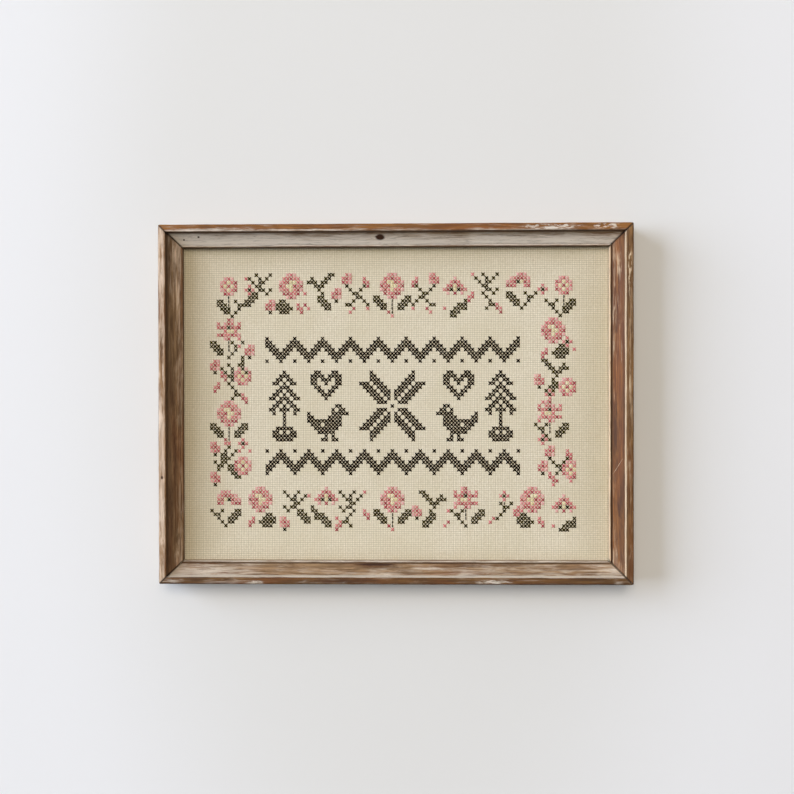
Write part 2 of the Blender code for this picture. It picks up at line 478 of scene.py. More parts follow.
def build_rail(name, seed):
    """One rail, from its section, with what its finish reads: the grain, the lip, the chalky wash with its painted
    highlights, and the soiling with its painted shade.
    """
    spec = RAILS[name]
    lies_flat = spec["turn"] in (0, 180)
    outer_length, other_length = (FRAME_WIDTH, FRAME_HEIGHT) if lies_flat else (FRAME_HEIGHT, FRAME_WIDTH)
    points, along, run, to_mitre = rail_surface(outer_length, seed)
    points[..., 2] += other_length / 2
    points = turned_about_y(points, spec["turn"])
    points[..., 2] += MIDDLE_Z
    stations, count = along.shape
    faces = ring_faces(stations, count)[:, ::-1].tolist()
    faces.append(list(range(count)))
    faces.append([(stations - 1) * count + i for i in reversed(range(count))])
    piece = make_piece(name + "_moulding", points.reshape(-1, 3), faces, pine(name))
    piece.data.set_sharp_from_angle(angle=math.radians(38))

    whole = np.ones(along.shape)
    # The amounts of limewash also paint highlights on the edges that face the lamps.
    lime_and_highlight = across_zones(spec["lime_and_highlight"]) + 0.10 * wander(along, 90 * MM, seed + 5)
    left_on = np.interp(along / (outer_length / 2), np.linspace(-1, 1, 7), spec["left_on"])
    lime_and_highlight += left_on * across_zones(dict(slope=1.0, groove=0.5))
    # The grime is real dirt in the hollows and the mitres, and also painted shade on the edges that face away from
    # the lamps.
    grime_and_shade = across_zones(spec["grime_and_shade"]) + 0.8 * np.exp(-to_mitre / (0.35 * MM))
    lip = across_zones(dict(side=1.0, lip=1.0, wall=0.6)) * whole
    raw = across_zones(dict(back=1.0, rebate=1.0)) * whole
    grain = np.stack([along / MM, run / MM, whole * seed * 7], -1)
    store(piece, "grain", grain.reshape(-1, 3))
    for attribute, values in (("limewash_and_highlight", lime_and_highlight), ("grime_and_shade", np.clip(grime_and_shade, 0, 1)), ("lip", lip), ("raw", raw)):
        store(piece, attribute, values.reshape(-1))
    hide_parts(name)
    return piece


def grain_streaks(tree, grain, along_mm, across_mm, detail, distortion):
    """Noise drawn out along the grain, on coordinates in millimetres."""
    drawn_out = add(tree, VECTOR, [grain, (1 / along_mm, 1 / across_mm, 1.0)], operation="MULTIPLY")
    shape = {"Vector": drawn_out, "Scale": 1.0, "Detail": detail, "Roughness": 0.6, "Distortion": distortion}
    return add(tree, NOISE, shape)


# Streaks in the pine, as millimetres along, millimetres across, detail and distortion: the brushed fibres, the growth
# bands, broad shades, the patches of limewash, its flecks, and the drift towards russet
STREAKS = (
    (26.0, 0.55, 5.0, 0.25),
    (40.0, 1.7, 4.0, 0.4),
    (26.0, 6.0, 3.0, 0.7),
    (13.0, 1.5, 6.0, 0.8),
    (5.0, 1.3, 5.0, 0.3),
    (60.0, 9.0, 2.0, 0.3),
)
RAW_WOOD = ("9C7A52", "C6A77E")


def worn_marks(tree, rail_name, grain, flecks, cover):
    """Lays a rail's marks of wear over its cover of limewash, and returns the new cover and the dark marks.

    Each is an ellipse round its place. Its reach is ragged by fine flecks, and flakes show only where they are dense.
    """
    darkened = None
    ragged = add(tree, SUBTRACT, [flecks, 0.5])
    dense = add(tree, SMOOTH, [flecks, 0.47, 0.58])
    for kind, zone, share, along_mm, half_length, half_width in MARKS[rail_name]:
        place = add(tree, VECTOR, [grain, (along_mm, zone_run(zone, share), 0.0)], operation="SUBTRACT")
        if kind == "scratch":
            turn = {"Vector": place, "Angle": math.radians(-34)}
            place = add(tree, "ShaderNodeVectorRotate", turn, rotation_type="Z_AXIS")
        scaled = add(tree, VECTOR, [place, (1 / half_length, 1 / half_width, 0.0)], operation="MULTIPLY")
        reach = add(tree, VECTOR, [scaled], out="Value", operation="LENGTH")
        if kind in ("knot", "stain"):
            spread, near, far, strength = (0.6, 0.62, 1.1, 1.0) if kind == "knot" else (2.2, 0.0, 1.3, 0.55)
            edge = add(tree, MULTIPLY_ADD, [ragged, spread, reach])
            mark = add(tree, SMOOTH, [edge, near, far, strength, 0.0])
            darkened = mark if darkened is None else add(tree, MAXIMUM, [darkened, mark])
            continue
        if kind == "scratch":
            mark = add(tree, SMOOTH, [reach, 0.2, 1.0, 0.8, 0.0])
        elif kind == "flakes":
            spot = add(tree, SMOOTH, [reach, 0.3, 1.0, 0.85, 0.0])
            mark = add(tree, MULTIPLY, [spot, dense])
        else:
            edge = add(tree, MULTIPLY_ADD, [ragged, 1.6, reach])
            strength = 0.42 if kind == "wash" else -0.5
            mark = add(tree, SMOOTH, [edge, 0.0, 1.2, strength, 0.0])
        cover = add(tree, ADD, [cover, mark])
    return cover, darkened


def pine(rail_name):
    """Old pine with a limewash rubbed through.

    The brushed fibres show as fine long streaks between the thin dark lines of the growth rings. The wash stays in
    them as a chalky film with ragged edges, and the lip is handled bare and darker. Dirt gathers in the step, the
    groove and the mitres. Where these face away from the lamps the dark brown is also painted shade, and where they
    face the lamps the chalky film is also a painted highlight. The back is raw.
    """
    spec = RAILS[rail_name]
    material, tree, shader = new_material("worn_" + spec["finish"], Roughness=0.72, Specular_IOR_Level=0.35)
    grain = add(tree, ATTRIBUTE, out="Vector", attribute_name="grain")
    names = ("limewash_and_highlight", "grime_and_shade", "lip", "raw")
    limewash_and_highlight, grime_and_shade, lip, raw = [add(tree, ATTRIBUTE, out="Fac", attribute_name=name) for name in names]
    fibre, bands, shades, patches, flecks, tone = [grain_streaks(tree, grain, *streak) for streak in STREAKS]

    mixed = 0.0
    for streaks, reach, weight in ((fibre, 0.12, 0.40), (bands, 0.12, 0.34), (shades, 0.10, 0.30)):
        share = add(tree, SMOOTH, [streaks, 0.5 - reach, 0.5 + reach, 0.0, weight])
        mixed = add(tree, ADD, [share, mixed])
    woods = []
    for dark, light in (spec["lip_wood"], spec["slope_wood"], RAW_WOOD):
        woods.append(add(tree, COLOURS, {0: mixed, 6: linear(dark), 7: linear(light)}))
    lip_wood, slope_wood, raw_wood = woods
    ring = add(tree, SUBTRACT, [bands, 0.5])
    ring = add(tree, ABSOLUTE, [ring])
    ring = add(tree, SMOOTH, [ring, 0.0, 0.03, 0.38, 0.0])
    wood = add(tree, COLOURS, {0: lip, 6: slope_wood, 7: lip_wood})
    russet = add(tree, SMOOTH, [tone, 0.42, 0.66, 0.0, 0.4])
    wood = add(tree, COLOURS, {0: russet, 6: wood, 7: linear("7C421A")})

    uneven = add(tree, MULTIPLY_ADD, [patches, 1.25, limewash_and_highlight])
    cover = add(tree, MULTIPLY_ADD, [fibre, 0.9, uneven])
    cover = add(tree, MULTIPLY_ADD, [shades, 0.6, cover])
    cover = add(tree, SUBTRACT, [cover, 1.375])
    cover, darkened = worn_marks(tree, rail_name, grain, flecks, cover)
    # The veil paints the limewash, and painted highlights where the amounts were raised on edges that face the lamps.
    veil_and_highlight = add(tree, SMOOTH, [cover, 0.15, 0.95, 0.0, 0.94])
    # Dark brown over the step, groove, bead and mitres: real dirt, and painted shade on the edges that face away from
    # the lamps.
    uneven_dirt_and_shade = add(tree, SMOOTH, [patches, 0.2, 0.6, 0.7, 0.95])
    dirt_and_shade = add(tree, MULTIPLY, [grime_and_shade, uneven_dirt_and_shade])
    colour = wood
    lime_and_highlight, mark, soil_and_shade, ring_brown = [linear(c) for c in (spec["lime_colour"], "3A1E0A", "352313", "3E2614")]
    for share, over in ((veil_and_highlight, lime_and_highlight), (darkened, mark), (dirt_and_shade, soil_and_shade), (raw, raw_wood), (ring, ring_brown)):
        colour = add(tree, COLOURS, {0: share, 6: colour, 7: over})

    rough = add(tree, SMOOTH, [veil_and_highlight, 0.0, 1.0, 0.62, 0.86])
    tree.links.new(rough, shader.inputs["Roughness"])
    relief = add(tree, MULTIPLY_ADD, [fibre, 2.0, veil_and_highlight])
    set_surface(tree, shader, colour, relief, 0.6, 0.06 * MM)
    return material


# Cloth


def weave_lines(low, high, middle, pitch):
    """Where a sheet's grid lines run: three for each block, at the gap and at both shoulders of the block.

    Blocks are counted from the chart's middle, so that every stitch fits its block.
    """
    first = math.floor((low - middle) / pitch)
    last = math.ceil((high - middle) / pitch)
    blocks = np.arange(first, last + 1)
    places = middle + (blocks[:, None] + np.array([-0.17, 0.0, 0.17])[None, :]).ravel() * pitch
    is_gap = np.tile([0, 1, 0], len(blocks))
    inside = (places > low + 0.05 * pitch) & (places < high - 0.05 * pitch)
    return np.concatenate([[low], places[inside], [high]]), np.concatenate([[0], is_gap[inside], [0]])


def build_cloth():
    """The cotton: a closed sheet whose face rises in small blocks between sunken gaps, with holes where gaps cross.

    The face's depth is the gap depth where a line is a gap, and the hole depth more where two cross. The face is a
    grid on the weave's lines, joined at its rim to a flat back.
    """
    middle_x = CHART_CENTRE_X + (CHART_COLUMNS % 2) * BLOCK_WIDTH / 2
    middle_z = CHART_CENTRE_Z + (CHART_ROWS % 2) * BLOCK_HEIGHT / 2
    covered = RAIL_WIDTH - HIDDEN_WEAVE
    xs, gap_x = weave_lines(OUTLINE_LOW.x + covered, OUTLINE_HIGH.x - covered, middle_x, BLOCK_WIDTH)
    zs, gap_z = weave_lines(OUTLINE_LOW.z + covered, OUTLINE_HIGH.z - covered, middle_z, BLOCK_HEIGHT)
    xs = np.concatenate([[CLOTH_LOW.x], xs, [CLOTH_HIGH.x]])
    zs = np.concatenate([[CLOTH_LOW.z], zs, [CLOTH_HIGH.z]])
    gap_x = np.concatenate([[0], gap_x, [0]])
    gap_z = np.concatenate([[0], gap_z, [0]])
    x, z = np.meshgrid(xs, zs, indexing="ij")
    gx, gz = np.meshgrid(gap_x, gap_z, indexing="ij")
    sunk = GAP_DEPTH * np.maximum(gx, gz) + HOLE_DEPTH * gx * gz
    inner = ~((x <= CLOTH_LOW.x) | (x >= CLOTH_HIGH.x) | (z <= CLOTH_LOW.z) | (z >= CLOTH_HIGH.z))
    lift = BLOCK_UNEVENNESS * wander_field(x, z, 9 * MM, 9 * MM, 31) * inner
    shift_x = THREAD_DRIFT * wander_field(z, x, 60 * MM, 40 * MM, 32) * inner
    shift_z = THREAD_DRIFT * wander_field(x, z, 60 * MM, 40 * MM, 33) * inner
    front = np.stack([x + shift_x, -(CLOTH_FRONT - sunk + lift), z + shift_z], -1).reshape(-1, 3)
    columns, rows = x.shape

    i, j = np.meshgrid(np.arange(columns - 1), np.arange(rows - 1), indexing="ij")
    corner = i * rows + j
    face = np.stack([corner, corner + rows, corner + rows + 1, corner + 1], -1).reshape(-1, 4).tolist()
    border = np.concatenate(
        [
            np.arange(columns) * rows,
            (columns - 1) * rows + np.arange(1, rows),
            np.arange(columns - 2, -1, -1) * rows + rows - 1,
            np.arange(rows - 2, 0, -1),
        ]
    )
    back = front[border].copy()
    back[:, 1] = -CLOTH_BACK
    first = columns * rows
    k = np.arange(len(border))
    after = (k + 1) % len(border)
    sides = np.stack([border[after], border, first + k, first + after], -1).tolist()
    bottom = [(first + k[::-1]).tolist()]
    cloth = make_piece(
        "cloth_weave", np.concatenate([front, back]), face + sides + bottom, cream_cotton(), smooth=False
    )
    depth = (np.maximum(gx, gz) * 0.6 + gx * gz * 0.4).reshape(-1)
    store(cloth, "gap", np.concatenate([depth, np.zeros(len(border))]))
    # Painted darker and browner near the rails: ageing of the old cloth, and painted shade from the rails, reaching
    # further under the top rail.
    sides_away = np.minimum(x - OUTLINE_LOW.x, OUTLINE_HIGH.x - x)
    ends_away = np.minimum(1.8 * (z - OUTLINE_LOW.z), 1.3 * (OUTLINE_HIGH.z - z))
    away = np.minimum(sides_away, ends_away) - RAIL_WIDTH
    toning_and_shade = np.exp(-(np.clip(away, 0, None) / TONING_AND_SHADE_REACH) ** 2).reshape(-1)
    store(cloth, "toning_and_shade", np.concatenate([toning_and_shade, np.ones(len(border))]))
    # Painted shadow in a narrow band under the top rail.
    under_rail = np.clip(OUTLINE_HIGH.z - RAIL_WIDTH - z, 0, None)
    shadow_under_rail = np.exp(-(under_rail / SHADOW_UNDER_RAIL_REACH) ** 2).reshape(-1)
    store(cloth, "shadow_under_rail", np.concatenate([shadow_under_rail, np.zeros(len(border))]))
    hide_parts("cloth")
    return cloth


def cream_cotton():
    """Cream block-weave cotton: soft matt threads, four each way in a block, going over and under.

    The colour is a little uneven from thread to thread, and the threads' ridges are a bump over the blocks. Each
    thread is a quarter of a block, 0.56 mm. The line between two pairs of threads is drawn darker than it is, as
    painted shade in the groove, so that the weave still shows from the photograph's distance. The sunken gaps are
    painted darker as shade, and the holes also show the darker backing. Near the rails the cloth is painted darker
    and browner, as ageing of the cloth and as painted shade, and a narrow painted shadow lies under the top rail.
    """
    constants = dict(Roughness=0.92, Sheen_Weight=0.12, Specular_IOR_Level=0.2)
    material, tree, shader = new_material("block_weave_cotton", **constants)
    place = add(tree, "ShaderNodeTexCoord", out="Object")
    names = ("gap", "toning_and_shade", "shadow_under_rail")
    gap, toning_and_shade, shadow_under_rail = [add(tree, ATTRIBUTE, out="Fac", attribute_name=name) for name in names]
    blocks = add(
        tree,
        "ShaderNodeMapping",
        {
            "Vector": place,
            "Location": (0.5 - CHART_CENTRE_X / BLOCK_WIDTH, 0.0, 0.5 - CHART_CENTRE_Z / BLOCK_HEIGHT),
            "Scale": (1 / BLOCK_WIDTH, 0.0, 1 / BLOCK_HEIGHT),
        },
    )
    axes = add(tree, "ShaderNodeSeparateXYZ", [blocks]).node.outputs
    waves, ridges, pairs = [], [], []
    for axis in (0, 2):
        for turns, swings, heights in ((4 * math.pi, waves, ridges), (2 * math.pi, [], pairs)):
            angle = add(tree, MULTIPLY, [axes[axis], turns])
            swings.append(add(tree, SINE, [angle]))
            heights.append(add(tree, ABSOLUTE, [swings[-1]]))
    chequer = add(tree, MULTIPLY, [waves[0], waves[1]])
    over = add(tree, SMOOTH, [chequer, -0.25, 0.25])
    under = add(tree, SUBTRACT, [1.0, over])
    warp = add(tree, MULTIPLY, [ridges[0], over])
    threads = add(tree, MULTIPLY_ADD, [ridges[1], under, warp])
    lines = add(tree, MINIMUM, [pairs[0], pairs[1]])
    # painted shade in the grooves between pairs of threads
    between = add(tree, SMOOTH, [lines, 0.0, 0.6, 0.72, 0.0])

    slubs = add(tree, NOISE, {"Vector": place, "Scale": 900.0, "Detail": 4.0, "Roughness": 0.6})
    soft = add(tree, NOISE, {"Vector": place, "Scale": 28.0, "Detail": 3.0, "Roughness": 0.5})
    slub_shade = add(tree, SMOOTH, [slubs, 0.3, 0.7])
    cream = add(tree, COLOURS, {0: slub_shade, 6: linear("E6DCC5"), 7: linear("F7EFDB")})
    aged = add(tree, SMOOTH, [soft, 0.35, 0.65, 0.0, 0.35])
    # painted shade in the sunken gaps, and the darker backing seen through the holes
    shaded = add(tree, MULTIPLY, [gap, 0.14])
    for share, over, blend in (
        (aged, "E2D8BB", "MIX"),
        (between, "A6997A", "MIX"),
        (shaded, "9C8F72", "MIX"),
        # painted shade and ageing near the rails
        (toning_and_shade, "EDEAE4", "MULTIPLY"),
        # painted shadow under the top rail
        (shadow_under_rail, "DAD8D2", "MULTIPLY"),
    ):
        cream = add(tree, COLOURS, {0: share, 6: cream, 7: linear(over)}, blend_type=blend)
    relief = add(tree, MULTIPLY_ADD, [slubs, 0.5, threads])
    set_surface(tree, shader, cream, relief, 0.5, 0.12 * MM)
    return material


# The chart. One letter is one cross: l, p and r are light, mid and deep rose, y is straw yellow, g and d are
# olive and dark olive, k is brown-black.

FLOWERS = {
    "rose": """
    ..lpl..
    .pprpp.
    lpyyrpl
    rpryypr
    lrpyppl
    .rpprr.
    ..lrl..""",
    "blossom": """
    .lpl.
    lpypr
    pyryp
    lpypr
    .rpl.""",
    "wild_rose": """
    ..lr...
    p.prl.p
    rprdprp
    .pyyp..
    lprpprp
    p..rl..""",
    "half_rose": """
    ...lpl.
    .lprrpl
    lprdyrp
    rrp..pr""",
    "pink": """
    ...l...
    ..prp..
    .pryrp.
    prdydrp
    .l.r.l.""",
    "bud": """
    .pl
    prp
    rpl
    .d.""",
    "tip": """
    .p
    pr
    r.""",
    "leaf": """
    gg..
    gdg.
    .gdg
    ..dg""",
    "broad_leaf": """
    .gd..
    gdgg.
    dgddg
    .ddg.""",
    "long_leaf": """
    g.....
    gg....
    .dgg..
    .ggdg.
    ...dgd
    ....gg""",
    "sprig": """
    g...g..
    .g.d..g
    ..gd.g.
    ...gg..
    g.gd...
    .g.....""",
    "fork": """
    g....g.
    .g..g..
    ..gg...
    ...dg..
    ..g..g.
    gg....g""",
    "twig": """
    .g..g
    ..gg.
    ..d..
    .g...
    g....""",
    "branch": """
    ......gg
    .g...gd.
    gdg.gg..
    ..gdg...
    ...g....
    ....g...""",
    "cross_flower": """
    .p.
    pdp
    .p.""",
    "pair": """
    r.
    .p""",
    "mote": """
    p""",
    "tendril": """
    ..g
    .g.
    .g.
    g..
    .g.
    ..g""",
}

# Each spray is a small posy as (motif, turn, column, row), in a box about 11 columns by 11 rows. h mirrors it
# left to right, and v turns it upside down.
SPRAYS = {
    "bush": (("rose", "", 2, 0), ("leaf", "", 0, 6), ("leaf", "h", 7, 6), ("pair", "", 4, 10)),
    "posy": (("blossom", "", 1, 0), ("leaf", "", 0, 6), ("twig", "", 4, 6), ("cross_flower", "", 8, 2)),
    "rosette": (("rose", "h", 1, 0), ("broad_leaf", "", 0, 7), ("tip", "h", 6, 8)),
    "fork": (("branch", "", 1, 0), ("leaf", "", 4, 6), ("bud", "", 8, 4), ("mote", "", 0, 5), ("pair", "", 0, 8)),
    "twins": (("fork", "", 1, 3), ("bud", "", 0, 0), ("tip", "h", 6, 1), ("pair", "h", 2, 9), ("mote", "", 7, 9)),
    "thistle": (("pink", "", 0, 0), ("long_leaf", "h", 2, 5), ("mote", "", 0, 8)),
    "wild": (("wild_rose", "", 1, 0), ("twig", "h", 0, 6), ("leaf", "h", 6, 6)),
    "fan": (("half_rose", "", 1, 0), ("leaf", "", 1, 5), ("twig", "", 5, 5)),
    "spray": (("sprig", "", 1, 0), ("bud", "h", 0, 7), ("leaf", "", 5, 5), ("mote", "", 8, 1)),
    "tangle": (("sprig", "h", 2, 0), ("twig", "v", 4, 5), ("tip", "", 0, 5), ("tip", "h", 8, 8), ("mote", "", 1, 0)),
    "bloom": (("blossom", "", 0, 0),),
    "berry": (("cross_flower", "", 0, 0), ("mote", "", 3, 3)),
    "sprout": (("bud", "", 0, 0), ("tip", "h", 3, 3)),
    "vine": (("tendril", "", 0, 2), ("bud", "", 2, 0), ("mote", "", 0, 0)),
    "daisy": (("cross_flower", "", 3, 0), ("twig", "", 2, 3), ("bud", "", 7, 4), ("pair", "h", 0, 7)),
}

# A straight stem as (column, first row, last row) in its spray's box
STEMS = {"bush": (5.5, 7, 11), "posy": (3.5, 5, 9), "wild": (4.5, 6, 9), "daisy": (4.5, 3, 5)}

# The border as (spray, turn, column, row), side by side round the cloth
BORDER = (
    ("posy", "", 2, 1), ("spray", "h", 10, 0), ("rosette", "", 19, 0), ("fork", "", 27, 0),
    ("twins", "", 38, 0), ("bush", "", 47, 0), ("twins", "h", 58, 0), ("thistle", "", 67, 1),
    ("tangle", "", 74, 0), ("fan", "", 84, 0), ("posy", "h", 94, 1), ("wild", "h", 0, 12),
    ("tangle", "", 1, 24), ("bush", "", 0, 34), ("spray", "", 0, 46), ("rosette", "h", 95, 12),
    ("fork", "h", 93, 23), ("wild", "", 93, 34), ("twins", "", 96, 46), ("bloom", "", 7, 25),
    ("sprout", "", 0, 23), ("vine", "", 8, 19), ("berry", "", 8, 44), ("bloom", "h", 7, 49),
    ("vine", "h", 0, 45), ("berry", "", 101, 17), ("bloom", "", 100, 28), ("berry", "h", 95, 31),
    ("berry", "", 94, 43), ("sprout", "", 94, 50), ("bloom", "h", 101, 50), ("fan", "h", 0, 58),
    ("rosette", "h", 11, 57), ("spray", "", 20, 58), ("thistle", "h", 29, 57), ("tangle", "h", 36, 58),
    ("bush", "", 47, 57), ("fork", "h", 58, 58), ("wild", "", 69, 57), ("daisy", "", 80, 58),
    ("rosette", "", 88, 57), ("thistle", "", 98, 59),
)

# The band sampler in the middle, in traditional motifs
FIGURES = {
    "bird": """
    ........kk...
    .......k.kk..
    k......kkkkk.
    kk....kkkk...
    kkkkkkkkkk...
    .kkk.kkkkk...
    ..kkkkkkk....
    ...kkkkk.....
    .....k.k.....
    ....kk.kk....""",
    "heart": """
    .kk...kk.
    kkkk.kkkk
    kk.kkk.kk
    kk..k..kk
    .kk...kk.
    ..kk.kk..
    ...kkk...
    ....k....""",
    "tree": """
    ....k....
    ...kkk...
    ..kk.kk..
    .kk.k.kk.
    ...kkk...
    ..kk.kk..
    .kk.k.kk.
    kk.kkk.kk
    ..kk.kk..
    .kk.k.kk.
    kk.kkk.kk
    .k..k..k.
    ....k....
    ....k....
    ....k....
    ..kkkkk..
    .kk.k.kk.
    .kkkkkkk.
    ..kkkkk..""",
}
MIDDLE_COLUMN = 16
MIDDLE_ROW = 17
MIDDLE_COLUMNS = 73
MIDDLE_ROWS = 37
BAND_ROWS = 7
STAR_REACH = 9


def cells_of(text):
    """A chart's letters as an array of cells."""
    return np.array([list(row.strip()) for row in text.strip().splitlines()])


def turned(cells, turn):
    """Mirrors a chart left to right for h, and top to bottom for v."""
    for step in turn:
        cells = cells[:, ::-1] if step == "h" else cells[::-1]
    return cells


def lay(canvas, cells, column, row):
    """Lays a chart's stitched cells on a larger one, and leaves the rest as it was."""
    part = canvas[row : row + cells.shape[0], column : column + cells.shape[1]]
    cells = cells[: part.shape[0], : part.shape[1]]
    part[cells != "."] = cells[cells != "."]


def star_cells():
    """An eight-pointed star.

    A cell is stitched where the lesser of its two distances from the middle is 1 to 6, and the greater is 1 to 3
    more than that.
    """
    reach = np.abs(np.arange(-STAR_REACH, STAR_REACH + 1))
    far = np.maximum(reach[:, None], reach[None, :])
    near = np.minimum(reach[:, None], reach[None, :])
    stitched = (near >= 1) & (near <= STAR_REACH - 3) & (far - near >= 1) & (far - near <= 3)
    stitched |= far == 0
    return np.where(stitched, "k", ".")


def zigzag_cells():
    """A zigzag three stitches thick: its row is the distance to the nearest peak, eight columns apart.

    A single stitch stands under each peak.
    """
    column = np.arange(MIDDLE_COLUMNS)
    ridge = np.abs((column + 4) % 8 - 4)
    cells = np.full((BAND_ROWS, MIDDLE_COLUMNS), ".")
    for thick in range(3):
        cells[ridge + thick, column] = "k"
    cells[BAND_ROWS - 1, ridge == 0] = "k"
    return cells


def middle_cells():
    """The middle of the sampler: two zigzag bands, and a star, birds, hearts and trees between them.

    All but the star stand in mirror pairs.
    """
    cells = np.full((MIDDLE_ROWS, MIDDLE_COLUMNS), ".")
    zigzag = zigzag_cells()
    lay(cells, zigzag, 0, 0)
    lay(cells, zigzag[::-1], 0, MIDDLE_ROWS - BAND_ROWS)
    lay(cells, star_cells(), MIDDLE_COLUMNS // 2 - STAR_REACH, 9)
    for figure, column, row in (("tree", 1, 9), ("heart", 13, 9), ("bird", 12, 18)):
        shape = cells_of(FIGURES[figure])
        lay(cells, shape, column, row)
        lay(cells, shape[:, ::-1], MIDDLE_COLUMNS - column - shape.shape[1], row)
    return cells


def whole_chart():
    """Every stitched cell, and every straight stem as (column, first row, last row)."""
    chart = np.full((CHART_ROWS, CHART_COLUMNS), ".")
    stems = []
    for name, turn, column, row in BORDER:
        placed = [(turned(cells_of(FLOWERS[m]), inner), c, r) for m, inner, c, r in SPRAYS[name]]
        width = max(c + cells.shape[1] for cells, c, r in placed)
        height = max(r + cells.shape[0] for cells, c, r in placed)
        box = np.full((height, width), ".")
        for cells, c, r in placed:
            lay(box, cells, c, r)
        lay(chart, turned(box, turn), column, row)
        if name in STEMS:
            stem_column, first, last = STEMS[name]
            stem_column = width - stem_column if turn == "h" else stem_column
            stems.append((column + stem_column, row + first, row + last))
    lay(chart, middle_cells(), MIDDLE_COLUMN, MIDDLE_ROW)
    return chart, stems


# Stitches

# Each floss by the chart's letter, with the darkest and lightest of its shades, and its width as it is stranded
FLOSS = {
    "l": ("pale_rose", "E0909A", "F4C0BC", 0.60 * MM),
    "p": ("mid_rose", "CC5A6A", "E68A90", 0.60 * MM),
    "r": ("deep_rose", "9C2A46", "BE4A5C", 0.62 * MM),
    "y": ("straw", "E6D69C", "F7EECA", 0.56 * MM),
    "g": ("olive", "201C00", "363000", 0.78 * MM),
    "d": ("dark_olive", "100E00", "221E02", 0.78 * MM),
    "k": ("brown_black", "030000", "140B06", 0.82 * MM),
}


def hole_at(column, row):
    """The middle of the hole at a corner of the chart's cells, counted from the chart's top left."""
    x = CHART_CENTRE_X + (column - CHART_COLUMNS / 2) * BLOCK_WIDTH
    z = CHART_CENTRE_Z + (CHART_ROWS / 2 - row) * BLOCK_HEIGHT
    return np.stack([x, z], -1)


def floss_legs(start, end, lift, width, rng):
    """Lengths of floss from hole to hole, all at once, as one set of rings.

    Along a leg t runs from 0 to 1. Its middle line rises out of the first hole, arches over the block by the sine of
    t, and goes down into the second. Round it the radius swells twice a turn, for its two plies, and the swelling
    turns with t, as the plies are twisted.
    """
    count = len(start)
    t = np.linspace(0.0, 1.0, LEG_STATIONS)
    turn = np.linspace(0.0, 2 * np.pi, LEG_SIDES, endpoint=False)
    run = end - start
    length = np.linalg.norm(run, axis=1)
    direction = run / length[:, None]
    side = np.stack([-direction[:, 1], direction[:, 0]], -1)
    arch = np.sin(np.pi * t)
    rise = CLOTH_FRONT - LEG_SUNK + LEG_ARCH * arch**0.55
    rise = rise[None, :] + lift[:, None] * arch[None, :] ** 2
    sway = rng.normal(0, LEG_SWAY, count)[:, None] * arch[None, :]
    thick = 1 + rng.normal(0, 0.05, count)
    twist = rng.uniform(0, 2 * np.pi, count)[:, None, None] + 3.4 * t[None, :, None]
    ply = 1 + 0.14 * np.cos(2 * (turn[None, None, :] - twist))
    taper = 0.70 + 0.30 * arch**0.4
    radius = ply * thick[:, None, None] * taper[None, :, None]
    out = np.cos(turn)[None, None, :] * radius * width / 2 + sway[:, :, None]
    up = np.sin(turn)[None, None, :] * radius * FLOSS_FLATNESS * width / 2 + rise[:, :, None]
    middle = start[:, None, :] + run[:, None, :] * t[None, :, None]
    points = np.empty((count, LEG_STATIONS, LEG_SIDES, 3))
    points[..., 0] = middle[:, :, None, 0] + side[:, None, None, 0] * out
    points[..., 2] = middle[:, :, None, 1] + side[:, None, None, 1] * out
    points[..., 1] = -up
    strand = np.empty(points.shape)
    strand[..., 0] = (t[None, :] * length[:, None])[:, :, None] / MM
    strand[..., 1] = turn[None, None, :]
    strand[..., 2] = rng.random(count)[:, None, None]
    return points, strand


def floss_piece(name, points, strand, material):
    """One mesh for all the legs of one colour, each a closed tube."""
    ring = LEG_STATIONS * LEG_SIDES
    tube = ring_faces(LEG_STATIONS, LEG_SIDES)
    caps = np.stack([np.arange(LEG_SIDES)[::-1], ring - LEG_SIDES + np.arange(LEG_SIDES)])
    starts = np.arange(len(points))[:, None, None] * ring
    quads = (tube[None] + starts).reshape(-1, 4).tolist()
    ends = (caps[None] + starts).reshape(-1, LEG_SIDES).tolist()
    piece = make_piece(name, points.reshape(-1, 3), quads + ends, material)
    store(piece, "strand", strand.reshape(-1, 3))
    return piece


def floss(name, dark, light):
    """Stranded cotton floss: fine combed fibres in two soft plies, nearly matt.

    The colour shifts a little from stitch to stitch. Fibres run along each leg as a bump.
    """
    material, tree, shader = new_material(name, Roughness=0.7, Specular_IOR_Level=0.02)
    strand = add(tree, ATTRIBUTE, out="Vector", attribute_name="strand")
    along, around, shade = add(tree, "ShaderNodeSeparateXYZ", [strand]).node.outputs
    place = add(tree, "ShaderNodeTexCoord", out="Object")
    drift = add(tree, NOISE, {"Vector": place, "Scale": 160.0, "Detail": 2.0, "Roughness": 0.6})
    lean = add(tree, MULTIPLY, [along, 3.4])
    lean = add(tree, MULTIPLY_ADD, [around, 5.0, lean])
    fibres = add(tree, SINE, [lean])
    both = add(tree, ADD, [shade, drift])
    both = add(tree, MULTIPLY_ADD, [fibres, 0.35, both])
    mixed = add(tree, SMOOTH, [both, 0.3, 1.7])
    colour = add(tree, COLOURS, {0: mixed, 6: linear(dark), 7: linear(light)})
    set_surface(tree, shader, colour, fibres, 0.35, 0.06 * MM)
    return material


